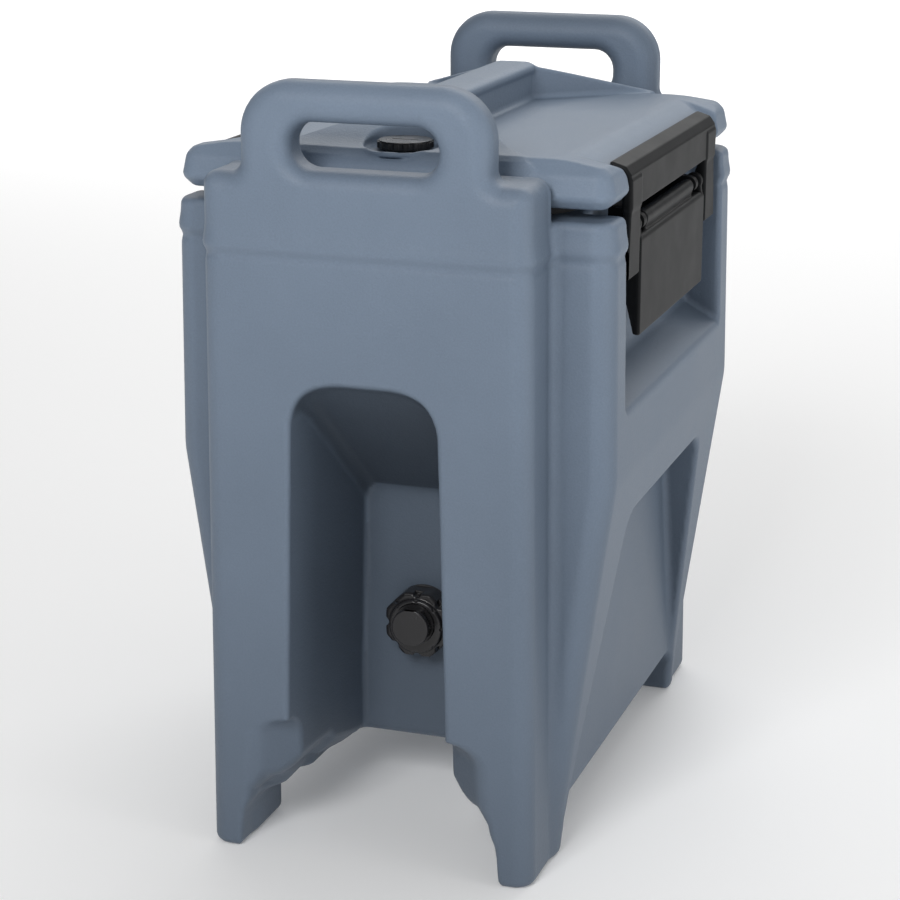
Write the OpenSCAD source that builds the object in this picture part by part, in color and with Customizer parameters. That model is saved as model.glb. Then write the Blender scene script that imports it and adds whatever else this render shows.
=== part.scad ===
// Insulated beverage server: double-wall moulded body with a foam core, a lift-off
// lid held by two draw latches, a vent cap and a turn tap in an arched recess.
// Millimetres. X runs across the front, the front faces -Y, Z is up.
// The origin is on the floor under the middle of the body.

/* [Body] */
// Half width of the body at its widest line, the knee
body_hw = 134.8; // [120:0.1:150]
// Half width of the body at the rim
rim_hw = 132.4; // [120:0.1:150]
// Half width of the body at the floor
foot_hw = 101.8; // [90:0.1:120]
// Height where the straight upper sides turn into the tapered lower sides
knee_z = 236; // [200:1:300]
// Half length of the main block, front to rear
block_hl = 152; // [140:0.5:170]
// Half length over the front and rear pilasters
pillar_hl = 193.3; // [180:0.1:210]
// Half width of a pilaster at its shoulder
pillar_hw = 97.2; // [85:0.1:110]
// Height of the pilaster shoulders
shoulder_z = 412; // [400:1:430]
// Height of the body rim, under the lid
rim_z = 388; // [370:1:400]
// Overall height, to the top of the handles
total_h = 467; // [440:1:500]
// Wall of the moulded skin
skin = 4; // [3:0.5:6]
// Radius of the upright corners of the block
corner_r = 14; // [8:1:24]
// Height of the middle of the moulded belt
belt_z = 371; // [360:1:380]
// How far the belt stands out
belt_out = 1.4; // [0:0.1:3]

/* [Handles] */
// Half width of a handle loop
handle_hw = 74; // [60:1:85]
// Thickness of a handle, front to rear
handle_t = 30; // [20:1:36]
// Half width of the hand slot
slot_hw = 43.5; // [38:0.5:55]
// Lower edge of the hand slot
slot_z0 = 415; // [413:1:425]
// Upper edge of the hand slot
slot_z1 = 444; // [435:1:450]

/* [Front recess] */
// Half width of the arch near its top
arch_hw = 44.5; // [38:0.5:60]
// Height of the top of the arch
arch_z = 298; // [260:1:320]
// Radius of the top corners of the arch
arch_r = 32; // [20:1:44]
// Position of the recess back wall
recess_y = -88; // [-110:1:-70]
// Height where the sloping ceiling meets the back wall
ceiling_z = 205; // [180:1:240]
// Half width of the arch at its foot
arch_foot_hw = 49; // [44:0.5:60]
// Height where the leg flare starts, at the front
flare_z = 86; // [70:1:100]
// Depth of the leg flare, front to rear
flare_depth = 18; // [8:1:30]
// Half width of the gap between the legs at the floor
leg_gap_hw = 79; // [70:1:90]
// Height of the body underside
base_z = 30; // [20:1:40]
// Half length of the gap between front and rear legs
leg_gap_hl = 133; // [110:1:140]

/* [Side recesses] */
// Depth line of the lower side recess, from the middle
side_panel_x = 103.5; // [98:0.5:110]
// Top of the lower side recess
side_panel_z = 203; // [180:1:230]
// Half length of the lower side recess at its top
side_panel_hl = 91; // [80:1:110]
// Depth line of the latch pocket, from the middle
pocket_x = 107; // [100:1:115]
// Half length of the latch pocket
pocket_hl = 120; // [112:1:130]
// Height of the outer lip of the latch pocket
pocket_lip_z = 270; // [255:1:290]
// Height of the pocket floor at its back
pocket_back_z = 285; // [270:1:300]

/* [Tank] */
// Half width of the tank and its mouth
tank_hw = 92; // [80:1:96]
// Half length of the tank mouth
mouth_hl = 118; // [105:1:122]
// Height of the tank floor
tank_floor_z = 104; // [95:1:115]
// Position of the lower front wall of the tank
tank_front_y = -50; // [-56:1:-40]
// Position of the rear wall of the tank
tank_rear_y = 125; // [110:1:135]
// Radius of the upright tank corners
tank_r = 26; // [15:1:35]

/* [Lid] */
// Half width of the lid
lid_hw = 131; // [120:0.5:134]
// Half length of the lid
lid_hl = 149.5; // [140:0.5:150]
// Underside of the lid edge
lid_z0 = 394; // [390:1:400]
// Top of the flat part of the lid
lid_z1 = 421; // [415:1:428]
// Distance from the middle where the lid's sides start to slope down
lid_slope_x = 100.5; // [90:0.5:115]
// Height of the lid's side slope at the lid edge
lid_slope_z = 411.5; // [405:0.5:420]
// Width of the chamfer along the lid's front and rear edges
lid_chamfer = 9; // [3:0.5:12]
// Lowest face of the lid plug, inside the mouth
plug_z = 364; // [350:1:380]
// Half width of the middle grip ridge
ridge_hw = 13; // [10:0.5:20]
// Top of the grip ridge
ridge_z = 445; // [435:1:450]
// Front and rear ends of the ridge
ridge_y0 = -62; // [-80:1:-40]
ridge_y1 = 86; // [70:1:100]

/* [Vent] */
// Position of the vent along the lid
vent_y = -119; // [-130:1:-100]
// Radius of the vent cap
vent_cap_r = 16.5; // [12:0.5:22]
// Radius of the flat vent seat
vent_seat_r = 24; // [20:0.5:30]
// Height of the flat vent seat
vent_seat_z = 418.5; // [415:0.5:422]
// Radius of the vent passage
vent_bore_r = 5; // [3:0.5:7]

/* [Latches] */
// Outer face of the bail
bail_x = 130.5; // [128:0.5:136]
// Half length of the bail at its feet
bail_hl = 109; // [100:1:112]
// Half length of the bail at its bar
bail_bar_hl = 106; // [98:1:110]
// Half length of the bail window
bail_window_hl = 83; // [75:1:88]
// Lower edge of the bail bar
bail_bar_z = 388; // [384:0.5:394]
// Lower end of the bail legs
bail_foot_z = 348; // [340:1:352]
// Lever pivot, distance from the middle
lever_px = 124; // [118:0.5:128]
// Lever pivot, height
lever_pz = 375; // [370:0.5:380]
// Bail pivot, distance from the middle
bail_px = 120; // [116:0.5:126]
// Bail pivot, height
bail_pz = 357; // [352:0.5:360]
// Radius of the latch pins
pin_r = 2; // [1.5:0.1:3]
// Half length of the lever
lever_hl = 80; // [70:1:82]
// Lowest edge of the lever
lever_z0 = 309; // [300:1:320]
// Upper edge of the lever face
lever_z1 = 367; // [355:1:369]
// Outer face of the lever
lever_x = 130.5; // [128:0.5:133]

/* [Tap] */
// Height of the tap
tap_z = 124; // [115:0.5:130]
// Outer radius of the tap shank
shank_r = 12.6; // [10:0.1:14]
// Bore of the tap shank
shank_bore_r = 8; // [6:0.1:9]
// Outer radius of the tap collar
collar_r = 22.5; // [18:0.5:26]
// Distance across the flats of the hexagonal knob
knob_flats = 21; // [18:0.5:26]
// Front face of the knob
knob_y = -116.5; // [-122:0.5:-108]

/* [Hidden] */
$fn = 64;
far = 300;                       // reach of a cutting tool past the part
body_color = [0.44, 0.50, 0.58];
black = [0.11, 0.11, 0.12];
foam_color = [0.93, 0.88, 0.72];
steel = [0.72, 0.73, 0.75];
rubber = [0.16, 0.16, 0.17];
port_r = 10;                     // foam filling port
port_y = 60;
shoulder_r = 12;
handle_r = 30;
plug_gap = 3;                    // between the lid plug and the tank mouth
run_gap = 0.05;                  // radial gap of a running fit
gasket_w = 7;
keeper_angle = 50;               // slope of the latch face on the lid, below level
keeper_x0 = 116;                 // inner upper edge of that face
keeper_z0 = 413.2;
keeper_x1 = 124;                 // lid edge below the latch face
hook_gap = 1;                    // bail hook to lid, square to the latch face
keeper_slope = tan(keeper_angle);
hook_rise = hook_gap / cos(keeper_angle);
notch_hl = 111;
lid_under = 6;                   // chamfer under the lid edge
gasket_hx = 94;                  // inner half width of the lid seal
gasket_hy = 132;                 // inner half length of the lid seal
ring_y = -84;                    // groove for the ring on the tap stem
ring_w = 3;
barrel_r = 4.5;                  // lever barrel around its pin, between the lugs
barrel_hl = 58;
bracket_t = 3;
lug_hl = 68;
washer_t = 1.2;
collar_y0 = -104;
collar_y1 = recess_y - washer_t;
shank_y0 = -108.5;
inner_washer_y = tank_front_y + washer_t;
inner_nut_y = inner_washer_y + 8;
knob_port_y = -106;
vent_top_z = vent_seat_z + 1.2;
vent_tube_r = vent_bore_r + 4.5;

// A rectangle about the origin with round corners
module round_rect(hx, hy, r) {
    square([2 * (hx - r), 2 * hy], center = true);
    square([2 * hx, 2 * (hy - r)], center = true);
    for (sx = [-1, 1], sy = [-1, 1])
        translate([sx * (hx - r), sy * (hy - r)]) circle(r);
}

// An outline drawn in X and Z, given depth from y0 to y1
module along_y(y0, y1) {
    translate([0, y1, 0]) rotate([90, 0, 0]) linear_extrude(y1 - y0) children();
}

// An outline drawn in Y and Z, given width from x0 to x1
module along_x(x0, x1) {
    translate([x0, 0, 0]) rotate([90, 0, 90]) linear_extrude(x1 - x0) children();
}

// Main block: straight upper sides over tapered lower sides; g draws it smaller
module block(g) {
    intersection() {
        along_y(-block_hl + g, block_hl - g) polygon([
            [-foot_hw + g, g], [foot_hw - g, g], [body_hw - g, knee_z],
            [rim_hw - g, rim_z - g], [-rim_hw + g, rim_z - g], [-body_hw + g, knee_z]]);
        linear_extrude(rim_z) round_rect(body_hw - g, block_hl - g, corner_r);
    }
}

// Outline of a pilaster from the front, with round shoulders
module pillar_outline(g) {
    r = shoulder_r;
    polygon([[-foot_hw + g, g], [foot_hw - g, g], [pillar_hw - g, shoulder_z - r],
        [-pillar_hw + g, shoulder_z - r]]);
    translate([-pillar_hw + r, shoulder_z - r - g]) square([2 * (pillar_hw - r), r]);
    for (s = [-1, 1])
        translate([s * (pillar_hw - r), shoulder_z - r]) circle(r - g);
}

// Front and rear pilasters, which carry the handles and the legs
module pillars(g) {
    intersection() {
        union() {
            along_y(-pillar_hl + g, -block_hl - g) pillar_outline(g);
            along_y(block_hl + g, pillar_hl - g) pillar_outline(g);
            along_y(-block_hl - g - 1, block_hl + g + 1) polygon([
                [-foot_hw + g, g], [foot_hw - g, g], [pillar_hw - g, rim_z - g],
                [-pillar_hw + g, rim_z - g]]);
        }
        linear_extrude(total_h) round_rect(foot_hw + 1 - g, pillar_hl - g, shoulder_r);
    }
}

// Moulded handle loop, over the front pilaster
module handle() {
    intersection() {
        along_y(-pillar_hl, -pillar_hl + handle_t) difference() {
            translate([0, rim_z]) round_rect(handle_hw, total_h - rim_z, handle_r);
            translate([0, (slot_z0 + slot_z1) / 2])
                round_rect(slot_hw, (slot_z1 - slot_z0) / 2, (slot_z1 - slot_z0) / 2 - 0.5);
            translate([-far, 0]) square([2 * far, shoulder_z - 2]);
        }
        along_x(-far, far) {
            translate([-pillar_hl, 0]) square([handle_t, total_h - 10]);
            translate([-pillar_hl + 10, 0]) square([handle_t - 20, total_h]);
            for (y = [10, handle_t - 10])
                translate([y - pillar_hl, total_h - 10]) circle(10);
        }
    }
}

// Moulded belt around the body, under the rim
module belt() {
    translate([0, 0, belt_z - 4]) linear_extrude(8) {
        round_rect(rim_hw + belt_out, block_hl + belt_out, corner_r);
        round_rect(pillar_hw + 0.6 + belt_out, pillar_hl + belt_out, shoulder_r);
    }
}

// Outline of the arched recess from the front; g makes it larger
module arch_outline(g) {
    polygon([[-arch_foot_hw - g, -1], [arch_foot_hw + g, -1], [arch_hw + g, arch_z - arch_r],
        [-arch_hw - g, arch_z - arch_r]]);
    translate([-arch_hw + arch_r, arch_z - arch_r - 1])
        square([2 * (arch_hw - arch_r), arch_r + g + 1]);
    for (s = [-1, 1])
        translate([s * (arch_hw - arch_r), arch_z - arch_r]) circle(arch_r + g);
}

// Flare beside the arch foot: a bevel between the front face and the recess wall
module leg_flare(g) {
    linear_extrude(flare_z + g) polygon([[-leg_gap_hw + 6 - g, -far], [leg_gap_hw - 6 + g, -far],
        [leg_gap_hw - 6 + g, -pillar_hl], [arch_foot_hw + g, -pillar_hl + flare_depth + g],
        [-arch_foot_hw - g, -pillar_hl + flare_depth + g], [-leg_gap_hw + 6 - g, -pillar_hl]]);
}

// Vaulted gap between the front legs, and the bevels under the recess walls
module front_gap(g) {
    along_y(-far, -leg_gap_hl) polygon([[-leg_gap_hw - g, -1], [leg_gap_hw + g, -1],
        [leg_gap_hw - 3 + g, 16 + g], [arch_foot_hw + 7 + g, 44 + g],
        [arch_foot_hw - 1, 54 + 1.5 * g], [1 - arch_foot_hw, 54 + 1.5 * g],
        [-arch_foot_hw - 7 - g, 44 + g], [3 - leg_gap_hw - g, 16 + g]]);
    along_y(-leg_gap_hl - 1, recess_y + g) polygon([[-arch_foot_hw - 9 - g, base_z],
        [arch_foot_hw + 9 + g, base_z], [arch_foot_hw - 2 + g, base_z + 11],
        [2 - arch_foot_hw - g, base_z + 11]]);
}

// Arched recess for the tap, open to the front and below; g makes it larger
module front_recess(g) {
    intersection() {
        along_y(-far, recess_y + g) arch_outline(g);
        along_x(-far, far) polygon([[-far, -2], [recess_y + g, -2],
            [recess_y + g, ceiling_z + g], [-pillar_hl, arch_z + 1.4 * g],
            [-far, arch_z + 80]]);
    }
    leg_flare(g);
    front_gap(g);
}

// Lower side recess between the legs
module side_recess(g) {
    for (s = [0, 180]) rotate([0, 0, s])
        along_x(side_panel_x - g, far) polygon([[-leg_gap_hl - g, -1],
            [leg_gap_hl + g, -1], [side_panel_hl + g, side_panel_z + g],
            [-side_panel_hl - g, side_panel_z + g]]);
}

// Latch pocket, open outwards and upwards
module latch_pocket(g) {
    for (s = [0, 180]) rotate([0, 0, s])
        along_y(-pocket_hl - g, pocket_hl + g) polygon([[pocket_x - g, pocket_back_z - g],
            [body_hw + 10, pocket_lip_z - g - 4], [body_hw + 10, rim_z + 20],
            [pocket_x - g, rim_z + 20]]);
}

// Space under the body between the four legs
module leg_gaps(g) {
    translate([-far, -leg_gap_hl - g, -1]) cube([2 * far, 2 * (leg_gap_hl + g), base_z + g + 1]);
    translate([-leg_gap_hw - g, -far, -1]) cube([2 * (leg_gap_hw + g), 2 * far, base_z + g + 1]);
}

// Whole outside of the body; g draws it smaller all round
module body_form(g) {
    difference() {
        union() {
            block(g);
            pillars(g);
        }
        front_recess(g);
        side_recess(g);
        latch_pocket(g);
        leg_gaps(g);
    }
}

// Drink tank; g makes it larger
module tank_form(g) {
    intersection() {
        along_x(-far, far) polygon([[tank_front_y - g, tank_floor_z - g],
            [tank_rear_y + g, tank_floor_z + 6 - g], [tank_rear_y + g, 344],
            [mouth_hl + g, 352], [mouth_hl + g, rim_z + 1], [-mouth_hl - g, rim_z + 1],
            [-mouth_hl - g, 304 - g], [tank_front_y - g, 240 - g]]);
        along_y(-far, far) polygon([[-76 - g, tank_floor_z - 6], [76 + g, tank_floor_z - 6],
            [tank_hw + g, knee_z], [tank_hw + g, rim_z + 1], [-tank_hw - g, rim_z + 1],
            [-tank_hw - g, knee_z]]);
        translate([0, (tank_rear_y - mouth_hl) / 2, 0]) linear_extrude(rim_z + 1)
            round_rect(tank_hw + g, (tank_rear_y + mouth_hl) / 2 + g, tank_r);
    }
}

// Through hole for the tap shank
module tap_hole() {
    translate([0, recess_y - 5, tap_z]) rotate([-90, 0, 0])
        cylinder(r = shank_r + 0.3, h = tank_front_y - recess_y + 10);
}

// Space between the two skins, filled with foam
module foam_space() {
    difference() {
        body_form(skin);
        tank_form(skin);
        tap_hole();
    }
}

module body_shell() {
    color(body_color) difference() {
        union() {
            body_form(0);
            handle();
            rotate([0, 0, 180]) handle();
            difference() {
                belt();
                latch_pocket(0);
                translate([0, 0, belt_z - 6]) linear_extrude(12)
                    round_rect(tank_hw + 8, mouth_hl + 8, tank_r);
            }
        }
        foam_space();
        tank_form(0);
        tap_hole();
        translate([0, port_y, base_z - 1]) cylinder(r = port_r, h = skin + 2);
        bracket_screw_holes(1);
        bracket_screw_holes(-1);
    }
}

module body_foam() {
    color(foam_color) difference() {
        foam_space();
        bracket_screw_holes(1);
        bracket_screw_holes(-1);
    }
}

module foam_port_plug() {
    color(body_color) translate([0, port_y, 0]) {
        translate([0, 0, base_z]) cylinder(r = port_r, h = skin);
        translate([0, 0, base_z - 1.5]) cylinder(r = port_r + 3, h = 1.5);
    }
}

// Lid edge: sides sloping down to the edge, bevelled ends; g draws it smaller
module lid_plate(g) {
    intersection() {
        along_y(-far, far) for (m = [0, 1]) mirror([m, 0]) polygon([[-1, lid_z0 + g],
            [lid_hw - lid_under, lid_z0 + g], [lid_hw - g, lid_z0 + lid_under],
            [lid_hw - g, lid_slope_z - g], [lid_slope_x, lid_z1 - g], [-1, lid_z1 - g]]);
        along_x(-far, far) for (m = [0, 1]) mirror([m, 0]) polygon([[-1, lid_z0 + g],
            [lid_hl - lid_under, lid_z0 + g], [lid_hl - g, lid_z0 + lid_under],
            [lid_hl - g, lid_z1 - lid_chamfer], [lid_hl - lid_chamfer, lid_z1 - g],
            [-1, lid_z1 - g]]);
        translate([0, 0, lid_z0]) linear_extrude(lid_z1 - lid_z0)
            round_rect(lid_hw - g, lid_hl - g, 12);
    }
}

// Lid plug, inside the tank mouth
module lid_plug(g) {
    translate([0, 0, plug_z + g]) linear_extrude(lid_z0 + 2 - plug_z - g)
        round_rect(tank_hw - plug_gap - g, mouth_hl - plug_gap - g, tank_r - plug_gap);
}

// Notch for a latch bail on the right edge of the lid; g makes it larger
module lid_notch(g) {
    along_y(-notch_hl - g, notch_hl + g) polygon([[lid_slope_x + 1.5, lid_z1 + 0.5],
        [keeper_x0 - g, keeper_z0 - g],
        [keeper_x1 - g, keeper_z0 - g - keeper_slope * (keeper_x1 - keeper_x0)],
        [keeper_x1 - g, lid_z0 - 1], [lid_hw + 10, lid_z0 - 1], [lid_hw + 10, lid_z1 + 10],
        [lid_slope_x + 1.5, lid_z1 + 10]]);
}

// Raised end of the lid, falling from the ridge to one end edge
module lid_hip(y_ridge, y_end, z_ridge, z_end) {
    hull() {
        translate([-ridge_hw, y_ridge - 0.5, lid_z1 - 3])
            cube([2 * ridge_hw, 1, z_ridge - lid_z1 + 3]);
        translate([-48, y_end - 0.5, lid_z1 - 3]) cube([96, 1, z_end - lid_z1 + 3]);
        translate([-82, y_end - 0.5, lid_z1 - 3]) cube([164, 1, 3]);
    }
}

module lid_shell() {
    color(body_color) difference() {
        union() {
            lid_plate(0);
            lid_plug(0);
            translate([0, 0, lid_z1 - 3]) along_y(ridge_y0, ridge_y1) {
                translate([-ridge_hw, 0]) square([2 * ridge_hw, ridge_z - lid_z1 - 1]);
                translate([-ridge_hw + 4, 0]) square([2 * ridge_hw - 8, ridge_z - lid_z1 + 3]);
                for (s = [-1, 1])
                    translate([s * (ridge_hw - 4), ridge_z - lid_z1 - 1]) circle(4);
            }
            lid_hip(ridge_y0, -lid_hl + 6, ridge_z - 4, lid_z1);
            lid_hip(ridge_y1, lid_hl - 4, ridge_z - 2, lid_z1 + 5);
            translate([0, vent_y, vent_seat_z]) cylinder(r = vent_seat_r + 3, h = 2);
        }
        lid_foam_space();
        lid_notch(0);
        rotate([0, 0, 180]) lid_notch(0);
        translate([0, vent_y, vent_seat_z]) cylinder(r = vent_seat_r, h = 30);
        translate([0, vent_y, lid_z0 - 4]) cylinder(r = vent_tube_r, h = 40);
        translate([0, port_y, plug_z - 1]) cylinder(r = port_r - 2, h = skin + 2);
    }
}

// Space between the skins of the lid, filled with foam
module lid_foam_space() {
    difference() {
        union() {
            lid_plate(skin);
            lid_plug(skin);
        }
        lid_notch(skin);
        rotate([0, 0, 180]) lid_notch(skin);
        translate([0, vent_y, lid_z0 - far]) cylinder(r = vent_tube_r + skin, h = 2 * far);
    }
}

module lid_foam() {
    color(foam_color) lid_foam_space();
}

module lid_port_plug() {
    color(body_color) translate([0, port_y, plug_z - 1.5]) {
        translate([0, 0, 1.5]) cylinder(r = port_r - 2, h = skin);
        cylinder(r = port_r + 1, h = 1.5);
    }
}

// Soft seal between the rim and the lid
module lid_gasket() {
    color(rubber) translate([0, 0, rim_z]) linear_extrude(lid_z0 - rim_z) difference() {
        round_rect(gasket_hx + gasket_w, gasket_hy + gasket_w, tank_r + gasket_w);
        round_rect(gasket_hx, gasket_hy, tank_r);
    }
}

// Lining tube of the vent passage
module vent_tube() {
    color(black) translate([0, vent_y, 0]) difference() {
        translate([0, 0, lid_z0 - 2]) cylinder(r = vent_tube_r, h = vent_seat_z - lid_z0 + 2);
        translate([0, 0, lid_z0 - 3]) cylinder(r = vent_bore_r, h = 40);
    }
}

// Scalloped cap, with a stem that turns in the vent tube
module vent_cap() {
    color(black) translate([0, vent_y, 0]) difference() {
        union() {
            translate([0, 0, vent_top_z]) cylinder(r = vent_cap_r, h = 3.6);
            translate([0, 0, vent_top_z + 3.6]) cylinder(r = vent_cap_r - 1.2, h = 0.8);
            translate([0, 0, lid_z0 + 2]) cylinder(r = vent_bore_r - run_gap, h = vent_top_z - lid_z0);
        }
        for (a = [0 : 20 : 340]) rotate([0, 0, a])
            translate([vent_cap_r + 0.9, 0, vent_top_z - 1]) cylinder(r = 2, h = 10);
        translate([0, 0, lid_z0]) cylinder(r = 2.5, h = 14);
        translate([0, 0, lid_z0 + 11]) rotate([0, 90, 0]) cylinder(r = 1.5, h = 10);
        translate([-8, -0.7, vent_top_z + 3.6]) cube([16, 1.4, 2]);
    }
}

// Flat seal ring under the vent cap
module vent_seal() {
    color(rubber) translate([0, vent_y, vent_seat_z + 0.1]) difference() {
        cylinder(r = vent_cap_r - 4, h = vent_top_z - vent_seat_z - 0.1);
        translate([0, 0, -1]) cylinder(r = vent_bore_r + 1, h = 4);
    }
}

// Places of the four bracket screws, on the back wall of a pocket
module at_bracket_screws(side) {
    for (y = [-46, 46], z = [330, 346])
        translate([side * pocket_x, y, z]) rotate([0, side * 90, 0]) children();
}

module bracket_screw_holes(side) {
    at_bracket_screws(side) translate([0, 0, -9]) cylinder(r = 1.8, h = 10);
}

// Bracket on the back wall of the right pocket: a plate with two pin lugs
module latch_bracket() {
    color(black) difference() {
        union() {
            translate([pocket_x, -lug_hl, 322]) cube([bracket_t, 2 * lug_hl, 62]);
            for (y = [-lug_hl, lug_hl - 6]) along_y(y, y + 6) {
                translate([lever_px, lever_pz]) circle(5);
                polygon([[pocket_x + 1, lever_pz - 15], [lever_px - 3, lever_pz - 4.2],
                    [lever_px, lever_pz + 5], [pocket_x + 1, lever_pz + 8]]);
            }
        }
        translate([lever_px, 0, lever_pz]) rotate([90, 0, 0])
            cylinder(r = pin_r, h = far, center = true);
        at_bracket_screws(1) translate([0, 0, -1]) cylinder(r = 2.1, h = 8);
    }
}

// Pan-head screws of one bracket
module bracket_screws(side) {
    color(steel) at_bracket_screws(side) {
        translate([0, 0, -8]) cylinder(r = 1.8, h = 8 + bracket_t);
        translate([0, 0, bracket_t]) difference() {
            cylinder(r = 3.6, h = 2.2);
            translate([-0.5, -3, 1.2]) cube([1, 6, 2]);
        }
    }
}

module lever_pin() {
    color(steel) translate([lever_px, -lever_hl + 0.5, lever_pz]) rotate([-90, 0, 0])
        cylinder(r = pin_r, h = 2 * lever_hl - 1);
}

// Side cheek outline of the lever, hollow at the back
module lever_cheek() {
    translate([lever_px, lever_pz]) circle(5.5);
    polygon([[lever_x - 1, lever_z0 + 1], [lever_x - 1, lever_z1], [lever_px + 4, lever_pz + 3.7],
        [lever_px - 4.6, lever_pz + 3], [bail_px - 5.4, bail_pz], [bail_px - 3.5, bail_pz - 8],
        [lever_x - 4, lever_z0 + 1]]);
}

// Lever of the right latch: a face plate with two cheeks and two stiffening ribs
module latch_lever() {
    color(black) difference() {
        union() {
            along_y(-lever_hl, lever_hl) {
                translate([lever_x - 4, lever_z0 + 2]) square([4, lever_z1 - lever_z0 - 4]);
                translate([lever_x - 2, lever_z0 + 2]) circle(2);
                translate([lever_x - 4, lever_z1 - 2]) circle(4, $fn = 64);
                translate([lever_x - 9, lever_z1 - 3]) square([6, 4.2]);
            }
            for (s = [-1, 1]) along_y(s * (lever_hl - 2.5) - 2.5, s * (lever_hl - 2.5) + 2.5)
                lever_cheek();
            for (y = [-27, 27]) along_y(y - 1.5, y + 1.5) polygon([[lever_x - 3, lever_z0 + 6],
                [lever_x - 3, lever_z1 - 4], [lever_x - 9, lever_z1 - 4],
                [lever_x - 9, lever_z0 + 36]]);
            along_y(-barrel_hl, barrel_hl) {
                translate([lever_px, lever_pz]) circle(barrel_r);
                translate([lever_x - 7, lever_z1 - 3]) square([3.5, lever_pz - lever_z1]);
            }
        }
        translate([lever_px, 0, lever_pz]) rotate([90, 0, 0])
            cylinder(r = pin_r + run_gap, h = far, center = true);
        for (s = [-1, 1]) translate([bail_px, s * lever_hl, bail_pz]) rotate([90, 0, 0])
            cylinder(r = pin_r, h = 12, center = true);
    }
}

// Two short pins that carry the bail on the lever
module bail_pins() {
    color(steel) for (s = [-1, 1])
        translate([bail_px, s * (lever_hl + 4.5), bail_pz]) rotate([90, 0, 0])
            cylinder(r = pin_r, h = 14, center = true);
}

// Hooked bar outline of the bail
module bail_bar_outline() {
    x0 = keeper_x0 + 1.5;
    z_in = keeper_z0 + hook_rise;
    polygon([[x0, 416], [x0, z_in - keeper_slope * 1.5],
        [bail_x - 5, z_in - keeper_slope * (bail_x - 5 - keeper_x0)], [bail_x - 5, bail_bar_z],
        [bail_x, bail_bar_z], [bail_x, 409], [bail_x - 3, 413]]);
}

// Bail of the right latch: a hooked bar and two legs around the lever
module latch_bail() {
    color(black) difference() {
        union() {
            along_y(-bail_bar_hl, bail_bar_hl) bail_bar_outline();
            intersection() {
                along_y(-bail_bar_hl, bail_bar_hl)
                    translate([bail_x - 5, bail_foot_z]) square([5, 56]);
                along_x(bail_x - 6, bail_x + 1) for (m = [0, 1]) mirror([m, 0]) polygon([
                    [bail_window_hl, bail_bar_z + 2], [bail_window_hl, bail_foot_z + 2],
                    [bail_window_hl + 2, bail_foot_z], [bail_hl - 3, bail_foot_z],
                    [bail_hl, bail_foot_z + 3], [bail_bar_hl - 3, bail_bar_z + 2]]);
            }
            for (s = [-1, 1])
                along_y(s * (bail_window_hl + 2) - 2, s * (bail_window_hl + 2) + 2) {
                    translate([bail_px, bail_pz]) circle(5);
                    polygon([[bail_px - 1, bail_pz - 4.9], [bail_x - 1, bail_pz - 3],
                        [bail_x - 1, bail_bar_z + 4], [bail_x - 5, bail_bar_z - 1],
                        [bail_px - 4.9, bail_pz + 1]]);
                }
        }
        for (s = [-1, 1]) translate([bail_px, s * (bail_window_hl + 2), bail_pz])
            rotate([90, 0, 0]) cylinder(r = pin_r + run_gap, h = 12, center = true);
    }
}

// Hollow threaded shank through the front wall, with an outlet below its front end
module tap_shank() {
    color(black) difference() {
        translate([0, shank_y0, tap_z]) rotate([-90, 0, 0])
            cylinder(r = shank_r, h = inner_nut_y + 2 - shank_y0);
        translate([0, shank_y0 - 1, tap_z]) rotate([-90, 0, 0])
            cylinder(r = shank_bore_r, h = far);
        translate([0, knob_port_y, tap_z - 20]) cylinder(r = 2, h = 16);
    }
}

// Grip collar that clamps the shank: six lobes with finger flutes
module tap_collar() {
    color(black) translate([0, collar_y0, tap_z]) rotate([-90, 0, 0]) difference() {
        union() {
            cylinder(r = collar_r - 2, h = collar_y1 - collar_y0);
            translate([0, 0, 3]) cylinder(r = collar_r, h = collar_y1 - collar_y0 - 3, $fn = 8);
        }
        translate([0, 0, -1]) cylinder(r = shank_r + 0.02, h = 30);
        for (a = [0 : 45 : 315]) rotate([0, 0, a])
            translate([collar_r - 0.5, 0, -1]) cylinder(r = 2.2, h = 8);
    }
}

// Hexagonal knob with a round face and the valve stem
module tap_knob() {
    color(black) translate([0, 0, tap_z]) rotate([-90, 0, 0]) difference() {
        union() {
            translate([0, 0, knob_y + 1.5])
                cylinder(r = knob_flats / sqrt(3), h = shank_y0 - knob_y - 1.8, $fn = 6);
            translate([0, 0, knob_y]) cylinder(r = knob_flats / 2, h = 2);
            translate([0, 0, knob_y + 2]) cylinder(r = shank_bore_r - run_gap, h = -knob_y - 62);
        }
        translate([0, 0, ring_y]) difference() {
            cylinder(r = far, h = ring_w);
            translate([0, 0, -1]) cylinder(r = 6, h = 5);
        }
        translate([0, 0, knob_port_y - 3]) cylinder(r = 3, h = 80);
        translate([0, 0, knob_port_y]) rotate([0, 90, 0]) cylinder(r = 1.8, h = 12);
    }
}

module tap_stem_ring() {
    color(rubber) translate([0, ring_y, tap_z]) rotate([-90, 0, 0]) difference() {
        cylinder(r = shank_bore_r - run_gap, h = ring_w);
        translate([0, 0, -1]) cylinder(r = 6, h = 5);
    }
}

module tap_washer(y, r) {
    color(rubber) translate([0, y, tap_z]) rotate([-90, 0, 0]) difference() {
        cylinder(r = r, h = washer_t);
        translate([0, 0, -1]) cylinder(r = shank_r, h = 4);
    }
}

module tap_outer_washer() { tap_washer(recess_y - washer_t, 19); }

module tap_inner_washer() { tap_washer(tank_front_y, 19); }

module tap_inner_nut() {
    color(black) translate([0, inner_washer_y, tap_z]) rotate([-90, 0, 0]) difference() {
        cylinder(r = 19, h = inner_nut_y - inner_washer_y, $fn = 6);
        translate([0, 0, -1]) cylinder(r = shank_r, h = 20);
    }
}

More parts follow.
